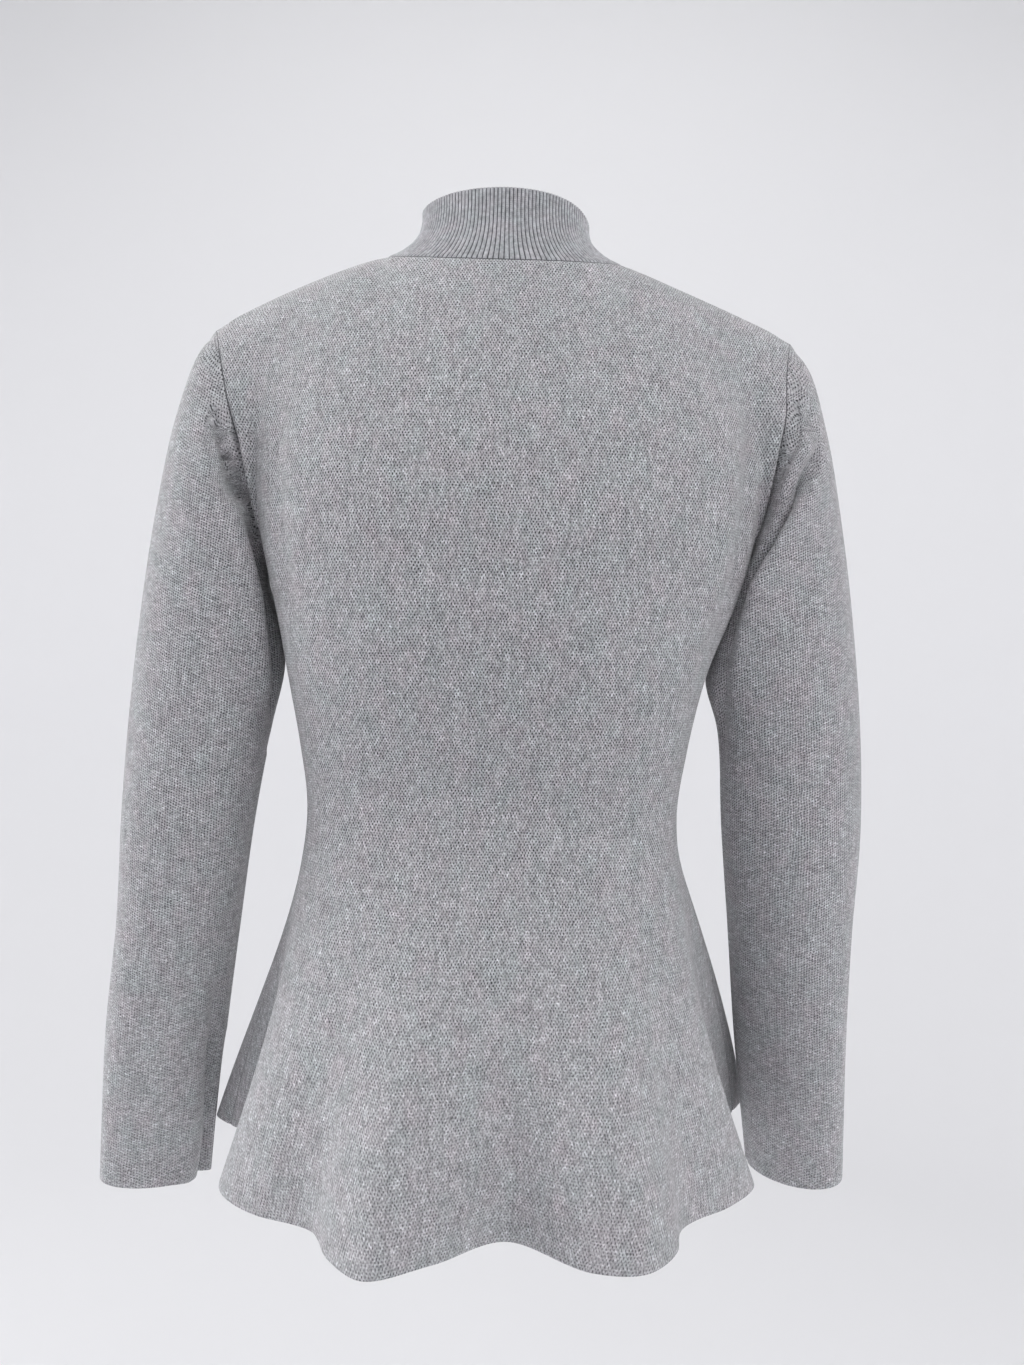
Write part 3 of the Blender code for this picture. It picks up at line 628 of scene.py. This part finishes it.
def melange_knit(name, fibre):
    """Wool-rich double knit: matt, with a soft nap, a small eye in every stitch darkened with painted shade,
    fibres of two tones carded unevenly, and a dark line where it is sewn. The eyes follow the stitches, as
    the product of a cosine across the wales and one up the courses, and close up towards the hem."""
    finish = bpy.data.materials.new(name)
    finish.use_nodes = True
    tree = finish.node_tree
    place = add_node(tree, "ShaderNodeTexCoord").outputs["Object"]
    cloth = add_node(tree, "ShaderNodeUVMap", uv_map="cloth").outputs[0]
    wander = add_node(tree, "ShaderNodeTexNoise", {"Vector": place, "Scale": 1 / WANDER[0], "Detail": 2.0})
    pulled = add_node(tree, "ShaderNodeVectorMath",
                      {0: wander.outputs["Color"], 1: (WANDER[1],) * 3, 2: cloth}, operation="MULTIPLY_ADD")
    part = add_node(tree, "ShaderNodeSeparateXYZ", {0: pulled.outputs[0]})
    wale = add_node(tree, "ShaderNodeMath", {0: part.outputs[0], 1: 2 * np.pi / STITCH_WIDTH},
                    operation="MULTIPLY")
    course = add_node(tree, "ShaderNodeMath", {0: part.outputs[1], 1: np.pi / STITCH_HEIGHT},
                      operation="MULTIPLY")
    wale = add_node(tree, "ShaderNodeMath", {0: wale.outputs[0]}, operation="COSINE")
    course = add_node(tree, "ShaderNodeMath", {0: course.outputs[0]}, operation="COSINE")
    stitch = add_node(tree, "ShaderNodeMath", {0: wale.outputs[0], 1: course.outputs[0]},
                      operation="MULTIPLY").outputs[0]
    height = add_node(tree, "ShaderNodeSeparateXYZ", {0: place}).outputs["Z"]
    open_eye = add_node(tree, "ShaderNodeMapRange",
                        {0: height, 1: EYE_FADE[0], 2: EYE_FADE[1], 3: HEM_EYE, 4: 1.0})
    depth = add_node(tree, "ShaderNodeMath",
                     {0: patches(tree, place, EYE, 0.55, 1.40), 1: open_eye.outputs[0]},
                     operation="MULTIPLY").outputs[0]
    # painted shade in each stitch's eye, deepest in the middle of the hole
    painted_eye_shade = add_node(tree, "ShaderNodeMapRange", {0: stitch, 1: 0.0, 2: 0.9, 4: depth},
                   interpolation_type="SMOOTHSTEP")
    colour = add_node(tree, "ShaderNodeMix", {0: painted_eye_shade.outputs[0], 6: linear(KNIT_GROUND), 7: linear(KNIT_EYE_PAINTED_SHADE)},
                      data_type="RGBA").outputs[2]
    colour = multiply(tree, colour, patches(tree, place, fibre, 0.66, 1.34, spread=0.6))
    colour = multiply(tree, colour, patches(tree, place, STREAK, 0.86, 1.14))
    colour = multiply(tree, colour, patches(tree, place, YARN, 0.92, 1.08, detail=1.0))
    colour = multiply(tree, colour, patches(tree, place, CLOUD, 0.96, 1.04))
    colour = multiply(tree, colour, patches(tree, place, SPECK, 0.60, 1.40, spread=0.8, detail=0.0))
    speck = patches(tree, place, SPECK, 0.0, 1.0, spread=1.0, detail=0.0)
    light = add_node(tree, "ShaderNodeMapRange", {0: speck, 1: 0.66, 2: 0.78, 3: 1.0, 4: 1.12}).outputs[0]
    colour = multiply(tree, colour, light)
    colour = tinted(tree, colour, patches(tree, place, TINT, 0.0, 1.0), KNIT_TINTS)
    colour = sewn_line(tree, colour, 0.0001, 0.0006, 0.80)
    nap = patches(tree, place, NAP, 0.0, 1.0, spread=0.8)
    relief = add_node(tree, "ShaderNodeMath", {0: stitch, 1: -0.7, 2: nap}, operation="MULTIPLY_ADD")
    matt_cloth(tree, colour, relief.outputs[0], 0.6, 0.35)
    return finish


def settled(grid, normals, seam, free_edge, tuck_width):
    """Grid drawn in along its seams by exp(-(distance / width) squared), slipped under the body's edge at the
    lower armhole, and rounded over at its free edge by a quarter circle."""
    rise = np.clip((TUCK_TOP - grid[..., 2]) / (TUCK_TOP - TUCK_FULL), 0, 1)
    fade = np.clip((grid[..., 2] - TUCK_END) / (UNDERARM_HEIGHT - TUCK_END), 0, 1)
    tuck = TUCK_DEPTH * rise ** 1.5 * fade ** 2 * np.exp(-(seam / tuck_width) ** 2)
    x, y = grid[..., 0], grid[..., 1]
    inward = np.stack((-TUCK_WAY[0] * np.sign(x), -TUCK_WAY[1] * np.clip(y / TUCK_TURN, -1, 1), 0 * tuck), -1)
    near = np.clip(1 - free_edge / EDGE_ROUND, 0, 1)
    dip = SEAM_DEPTH * np.exp(-(seam / SEAM_WIDTH) ** 2) + EDGE_ROUND * (1 - np.sqrt(1 - near ** 2))
    return grid - normals * dip[..., None] + inward * tuck[..., None]


panel_knit = melange_knit("grey_melange_double_knit", FIBRE)
for name, folds in (("back", BACK_FOLDS), ("front", FRONT_FOLDS)):
    grid = grids[name]
    middle = grid.shape[1] // 2
    from_right = run(grid, 1)
    from_hem = run(grid, 0)
    seam = np.minimum(np.minimum(from_right, from_right[:, -1:] - from_right), from_hem[-1] - from_hem)
    places = cloth_places(grid, (0, 0, 1), (1, 0, 0), middle)
    points = settled(grid, normals[name], seam, from_hem, PANEL_TUCK)
    points += normals[name] * (fold_height(places, folds) * (1 - np.exp(-(seam / SEAM_HOLD) ** 2)))[..., None]
    places = cloth_places(points, (0, 0, 1), (1, 0, 0), middle, SHOULDER_BEND, (1, 0, 0), SHOULDER_PULL)
    panel = sew_shell("knit_" + name, points, normals[name], KNIT_THICKNESS, places, seam, panel_knit)
    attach(panel, "root")
    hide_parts(name)

# ---------------------------------------------------------------------------------------------------
# Sleeves
# The same double knit, with its courses slanting up towards the body. The sleeve cap is set into the
# armhole, a seam runs down from the underarm, and the cuff is a plain knitted edge.

COURSE_SLANT = np.radians(28)
CAP_BEND = -0.030               # height across the courses above which the cap turns over the arm
SLEEVE_FOLDS = {
    "sleeve_left": (
        (0.0115, -0.0135, (-0.180, 0.506), (-0.178, 0.492), (-0.176, 0.474), (-0.181, 0.456), (-0.188, 0.440),
         (-0.193, 0.420)),
        (0.0065, -0.0110, (-0.180, 0.498), (-0.178, 0.487), (-0.176, 0.472), (-0.181, 0.456), (-0.188, 0.440),
         (-0.193, 0.420)),
        (0.0060, -0.0060, (-0.190, 0.435), (-0.196, 0.398), (-0.203, 0.366), (-0.212, 0.336), (-0.223, 0.306),
         (-0.235, 0.272), (-0.247, 0.240)),
        (0.0095, 0.0065, (-0.202, 0.425), (-0.2065, 0.400), (-0.213, 0.375), (-0.221, 0.352),
         (-0.2285, 0.330), (-0.235, 0.305), (-0.242, 0.275)),
        (0.0045, 0.0032, (-0.191, 0.510), (-0.199, 0.495), (-0.2035, 0.478), (-0.2085, 0.455),
         (-0.214, 0.425)),
        (0.0055, -0.0065, (-0.370, 0.100), (-0.397, 0.050), (-0.421, -0.004), (-0.434, -0.030),
         (-0.455, -0.075)),
        (0.0150, -0.0045, (-0.386, 0.055), (-0.420, -0.015), (-0.434, -0.045), (-0.460, -0.100)),
        (0.0080, 0.0022, (-0.416, 0.045), (-0.440, 0.006), (-0.455, -0.026), (-0.475, -0.070)),
        (0.0050, -0.0012, (-0.250, 0.262), (-0.290, 0.240), (-0.320, 0.232)),
        (0.0050, -0.0010, (-0.268, 0.222), (-0.310, 0.205)),
        (0.0060, -0.0010, (-0.330, 0.140), (-0.380, 0.118)),
        (0.0060, -0.0010, (-0.365, 0.085), (-0.420, 0.060)),
    ),
    "sleeve_right": (
        (0.0090, 0.0060, (-0.219, 0.390), (-0.2255, 0.362), (-0.229, 0.335), (-0.233, 0.310),
         (-0.240, 0.280)),
        (0.0050, -0.0030, (-0.203, 0.535), (-0.202, 0.507), (-0.197, 0.481), (-0.196, 0.456),
         (-0.199, 0.435)),
        (0.0050, -0.0135, (-0.220, 0.482), (-0.2175, 0.468), (-0.213, 0.441), (-0.2115, 0.414),
         (-0.213, 0.388), (-0.216, 0.362)),
        (0.0042, 0.0034, (-0.2125, 0.502), (-0.209, 0.478), (-0.205, 0.454), (-0.202, 0.426)),
        (0.0050, 0.0024, (-0.227, 0.466), (-0.221, 0.434), (-0.2185, 0.404), (-0.221, 0.372),
         (-0.227, 0.345)),
        (0.0060, -0.0050, (-0.208, 0.408), (-0.212, 0.372), (-0.219, 0.344), (-0.226, 0.318), (-0.235, 0.290),
         (-0.246, 0.256), (-0.258, 0.222)),
        (0.0050, -0.0012, (-0.262, 0.250), (-0.300, 0.235), (-0.335, 0.232)),
        (0.0050, -0.0010, (-0.300, 0.205), (-0.340, 0.190)),
        (0.0060, -0.0010, (-0.345, 0.120), (-0.395, 0.100)),
    ),
}

sleeve_knit = melange_knit("grey_melange_double_knit_sleeves", FIBRE[::-1])    # here the tufts lie across
for name, side in (("sleeve_left", 1), ("sleeve_right", -1)):
    grid = grids[name]
    down = run(grid, 0)
    around = run(grid, 1)
    seam = np.minimum(np.minimum(around, around[:, -1:] - around), down)
    up = (side * np.sin(COURSE_SLANT), 0, np.cos(COURSE_SLANT))
    along = (-side * np.cos(COURSE_SLANT), 0, np.sin(COURSE_SLANT))
    places = cloth_places(grid, up, along, YOKE_ROWS)
    points = settled(grid, normals[name], seam, down[-1] - down, SLEEVE_TUCK)
    turns = np.stack((places[:, -1, 0] - places[:, 0, 0], 0 * places[:, 0, 0]), -1)[:, None]
    height = sum(fold_height(places + turns * k, SLEEVE_FOLDS[name]) for k in (-1, 0, 1))
    points += normals[name] * (height * (1 - np.exp(-(seam / SEAM_HOLD) ** 2)))[..., None]
    places = cloth_places(points, up, along, YOKE_ROWS, CAP_BEND, along)
    sleeve = sew_shell("knit_" + name, points, normals[name], KNIT_THICKNESS, places, seam, sleeve_knit, True)
    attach(sleeve, "root")
    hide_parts(name)

# ---------------------------------------------------------------------------------------------------
# Collar
# 1x1 rib in the same yarn: rounded wales about 2.6 mm apart round the neck, with narrow grooves between them
# that are darkened with painted shade. It is linked to the neckline with a row of small chain stitches.

RIB_THICKNESS = 0.0026
WALES = 146
WALE_POINTS = 8
RIB_DEPTH = 0.0008
RIB_START = 0.004               # the ribs rise over this height from the seam
GROOVE_ROUND = 0.7              # less is a narrower groove
LOOP_HEIGHT = 0.0015            # one stitch up a wale
COLLAR_ROWS = 28
EVEN_SHARE = 0.6                # the wales are spaced evenly round the collar at this share of its height
RIB_SHADE = "#B3B3B6"
# painted shade in the rib's grooves
GROOVE_PAINTED_SHADE = "#2C2C31"
RIB_TINTS = ("#F6FCFC", "#FDF8FB")
GROOVE_PATCH = (0.0042, 0.0100)     # size of the patches where the painted groove shade is wider or narrower
RIB_FIBRE = (0.0024, 0.0030)    # width and height of light and dark tufts of fibre
RIB_CLOUD = (0.0130, 0.0120)    # size of the faint clouds of light and dark
RIB_TINT = (0.0160, 0.0140)     # size of the clouds of cooler and warmer grey
RIB_NAP = (0.0008, 0.0010)

length_round = run(collar_plan(neck_turns, 0 * neck_turns + EVEN_SHARE)[None], 1)[0]
wale_place = np.linspace(0, 1, WALES * WALE_POINTS + 1)
turns = np.interp(wale_place * length_round[-1], length_round, neck_turns)
shares = steps(COLLAR_ROWS, True, True)
grid = collar_plan(*np.meshgrid(turns, shares))
outward = np.stack([[np.interp(turns, neck_turns, row[:, axis]) for row in normals["collar"]]
                    for axis in range(3)], -1)
outward = unit(smooth(shares, np.linspace(0, 1, len(outward)), outward))
up = run(grid, 0)
around = run(grid, 1)
groove = 1 - np.abs(np.sin(np.pi * WALES * wale_place)) ** GROOVE_ROUND
points = settled(grid, outward, up, up[-1] - up, PANEL_TUCK)
points -= outward * (RIB_DEPTH * groove * np.clip(up / RIB_START, 0, 1))[..., None]
places = np.stack(np.broadcast_arrays(wale_place * WALES, up), -1)


def rib_knit(name):
    """Fine 1x1 rib: light rounded wales of small stitches, and narrow grooves darkened with painted shade.
    The wales are the sine of the place round the collar, and the stitches a cosine up each wale."""
    finish = bpy.data.materials.new(name)
    finish.use_nodes = True
    tree = finish.node_tree
    place = add_node(tree, "ShaderNodeTexCoord").outputs["Object"]
    cloth = add_node(tree, "ShaderNodeUVMap", uv_map="cloth").outputs[0]
    part = add_node(tree, "ShaderNodeSeparateXYZ", {0: cloth})
    phase = add_node(tree, "ShaderNodeMath", {0: part.outputs[0], 1: np.pi}, operation="MULTIPLY")
    wale = add_node(tree, "ShaderNodeMath", {0: phase.outputs[0]}, operation="SINE")
    crown = add_node(tree, "ShaderNodeMath", {0: wale.outputs[0]}, operation="ABSOLUTE").outputs[0]
    uneven = patches(tree, place, GROOVE_PATCH, 0.38, 0.72)
    # painted shade in the grooves between the wales
    groove = add_node(tree, "ShaderNodeMapRange", {0: crown, 1: 0.05, 2: uneven, 3: 1.0, 4: 0.0},
                      interpolation_type="SMOOTHSTEP").outputs[0]
    colour = add_node(tree, "ShaderNodeMix", {0: groove, 6: linear(RIB_SHADE), 7: linear(GROOVE_PAINTED_SHADE)},
                      data_type="RGBA").outputs[2]
    colour = multiply(tree, colour, patches(tree, place, RIB_FIBRE, 0.70, 1.30))
    colour = multiply(tree, colour, patches(tree, place, RIB_CLOUD, 0.92, 1.08))
    colour = tinted(tree, colour, patches(tree, place, RIB_TINT, 0.0, 1.0), RIB_TINTS)
    colour = sewn_line(tree, colour, 0.0003, 0.0011, 0.85)
    loop = add_node(tree, "ShaderNodeMath", {0: part.outputs[1], 1: 2 * np.pi / LOOP_HEIGHT},
                    operation="MULTIPLY")
    loop = add_node(tree, "ShaderNodeMath", {0: loop.outputs[0]}, operation="COSINE").outputs[0]
    nap = patches(tree, place, RIB_NAP, 0.0, 1.0, spread=0.8)
    relief = add_node(tree, "ShaderNodeMath", {0: loop, 1: 0.35, 2: nap}, operation="MULTIPLY_ADD")
    matt_cloth(tree, colour, relief.outputs[0], 0.5, 0.30)
    return finish


collar_rib = rib_knit("grey_melange_rib")
collar = sew_shell("rib_collar", points, outward, RIB_THICKNESS, places, up, collar_rib, closed=True)
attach(collar, "root")
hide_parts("collar")

# ---------------------------------------------------------------------------------------------------
# Floor, light and camera
# A pale studio bowl with a plain floor. One broad lamp overhead, one to the right of the viewer, one to
# each side of the sweater with the stronger on its left, and one on the wall beyond.

FLOOR_HEIGHT = -1.35
BOWL_RADIUS = 2.6
BOWL_CURVE = 0.9
BOWL_HEIGHT = 4.0
BOWL_RINGS = 24
BOWL_SIDES = 96
STUDIO_WHITE = "#EEEEF0"
ROOM_WHITE = "#FAFBFE"
ROOM_GLOW = 0.02
SWEATER_MIDDLE = (0, 0, -0.3)
CAMERA_PLACE = (0.0, 0.71, -0.272)
CAMERA_ROLL = np.radians(1.35)

bend = np.linspace(0, np.pi / 2, BOWL_RINGS)
radius = np.concatenate(((0.001,), BOWL_RADIUS - BOWL_CURVE + BOWL_CURVE * np.sin(bend), (BOWL_RADIUS,)))
height = FLOOR_HEIGHT + np.concatenate(((0,), BOWL_CURVE * (1 - np.cos(bend)), (BOWL_HEIGHT,)))
angle = np.linspace(0, 2 * np.pi, BOWL_SIDES + 1)
bowl_grid = np.stack((radius[:, None] * np.cos(angle), radius[:, None] * np.sin(angle),
                      height[:, None] + 0 * angle), -1)
index = np.arange(bowl_grid[..., 0].size).reshape(bowl_grid.shape[:2])
bowl_mesh = bpy.data.meshes.new("studio_bowl")
bowl_mesh.from_pydata(bowl_grid.reshape(-1, 3).tolist(), [], grid_faces(index).tolist())
bowl_mesh.shade_smooth()
bowl = bpy.data.objects.new("studio_bowl", bowl_mesh)
bpy.context.scene.collection.objects.link(bowl)
plain = bpy.data.materials.new("pale_studio_paper")
plain.use_nodes = True
plain.node_tree.nodes["Principled BSDF"].inputs["Base Color"].default_value = linear(STUDIO_WHITE)
plain.node_tree.nodes["Principled BSDF"].inputs["Roughness"].default_value = 0.95
bowl_mesh.materials.append(plain)


def soft_light(name, place, aim, size, power):
    """Large square white light at a place, aimed at a point: its size in metres, its power in watts."""
    lamp = bpy.data.lights.new(name, "AREA")
    lamp.shape = "SQUARE"
    lamp.size = size
    lamp.energy = power
    holder = bpy.data.objects.new(name, lamp)
    holder.location = place
    holder.rotation_mode = "QUATERNION"
    holder.rotation_quaternion = (Vector(aim) - Vector(place)).to_track_quat("-Z", "Y")
    bpy.context.scene.collection.objects.link(holder)


soft_light("overhead", (0.2, 0.4, 1.7), SWEATER_MIDDLE, 2.2, 18)
soft_light("right_of_viewer", (-1.3, 1.3, 1.2), SWEATER_MIDDLE, 1.2, 17)
soft_light("left_side", (2.1, -0.1, 0.3), SWEATER_MIDDLE, 1.2, 29)
soft_light("right_side", (-2.1, -0.1, 0.3), SWEATER_MIDDLE, 1.4, 5)
soft_light("wall", (0, -1.2, 1.9), (0, -2.6, -0.2), 1.6, 10)
world = bpy.data.worlds.new("room")
world.use_nodes = True
world.node_tree.nodes["Background"].inputs[0].default_value = linear(ROOM_WHITE)
world.node_tree.nodes["Background"].inputs[1].default_value = ROOM_GLOW
bpy.context.scene.world = world
bpy.context.scene.view_settings.view_transform = "Standard"

camera_data = bpy.data.cameras.new("camera")
camera_data.lens = 27.7
camera_data.shift_x = 0.0120
camera_data.shift_y = -0.0166
camera = bpy.data.objects.new("camera", camera_data)
level = Matrix.Rotation(np.pi, 4, "Z") @ Matrix.Rotation(np.pi / 2, 4, "X")
roll = Matrix.Rotation(CAMERA_ROLL, 4, "Z")
camera.matrix_world = Matrix.Translation(CAMERA_PLACE) @ level @ roll
bpy.context.scene.collection.objects.link(camera)
bpy.context.scene.camera = camera
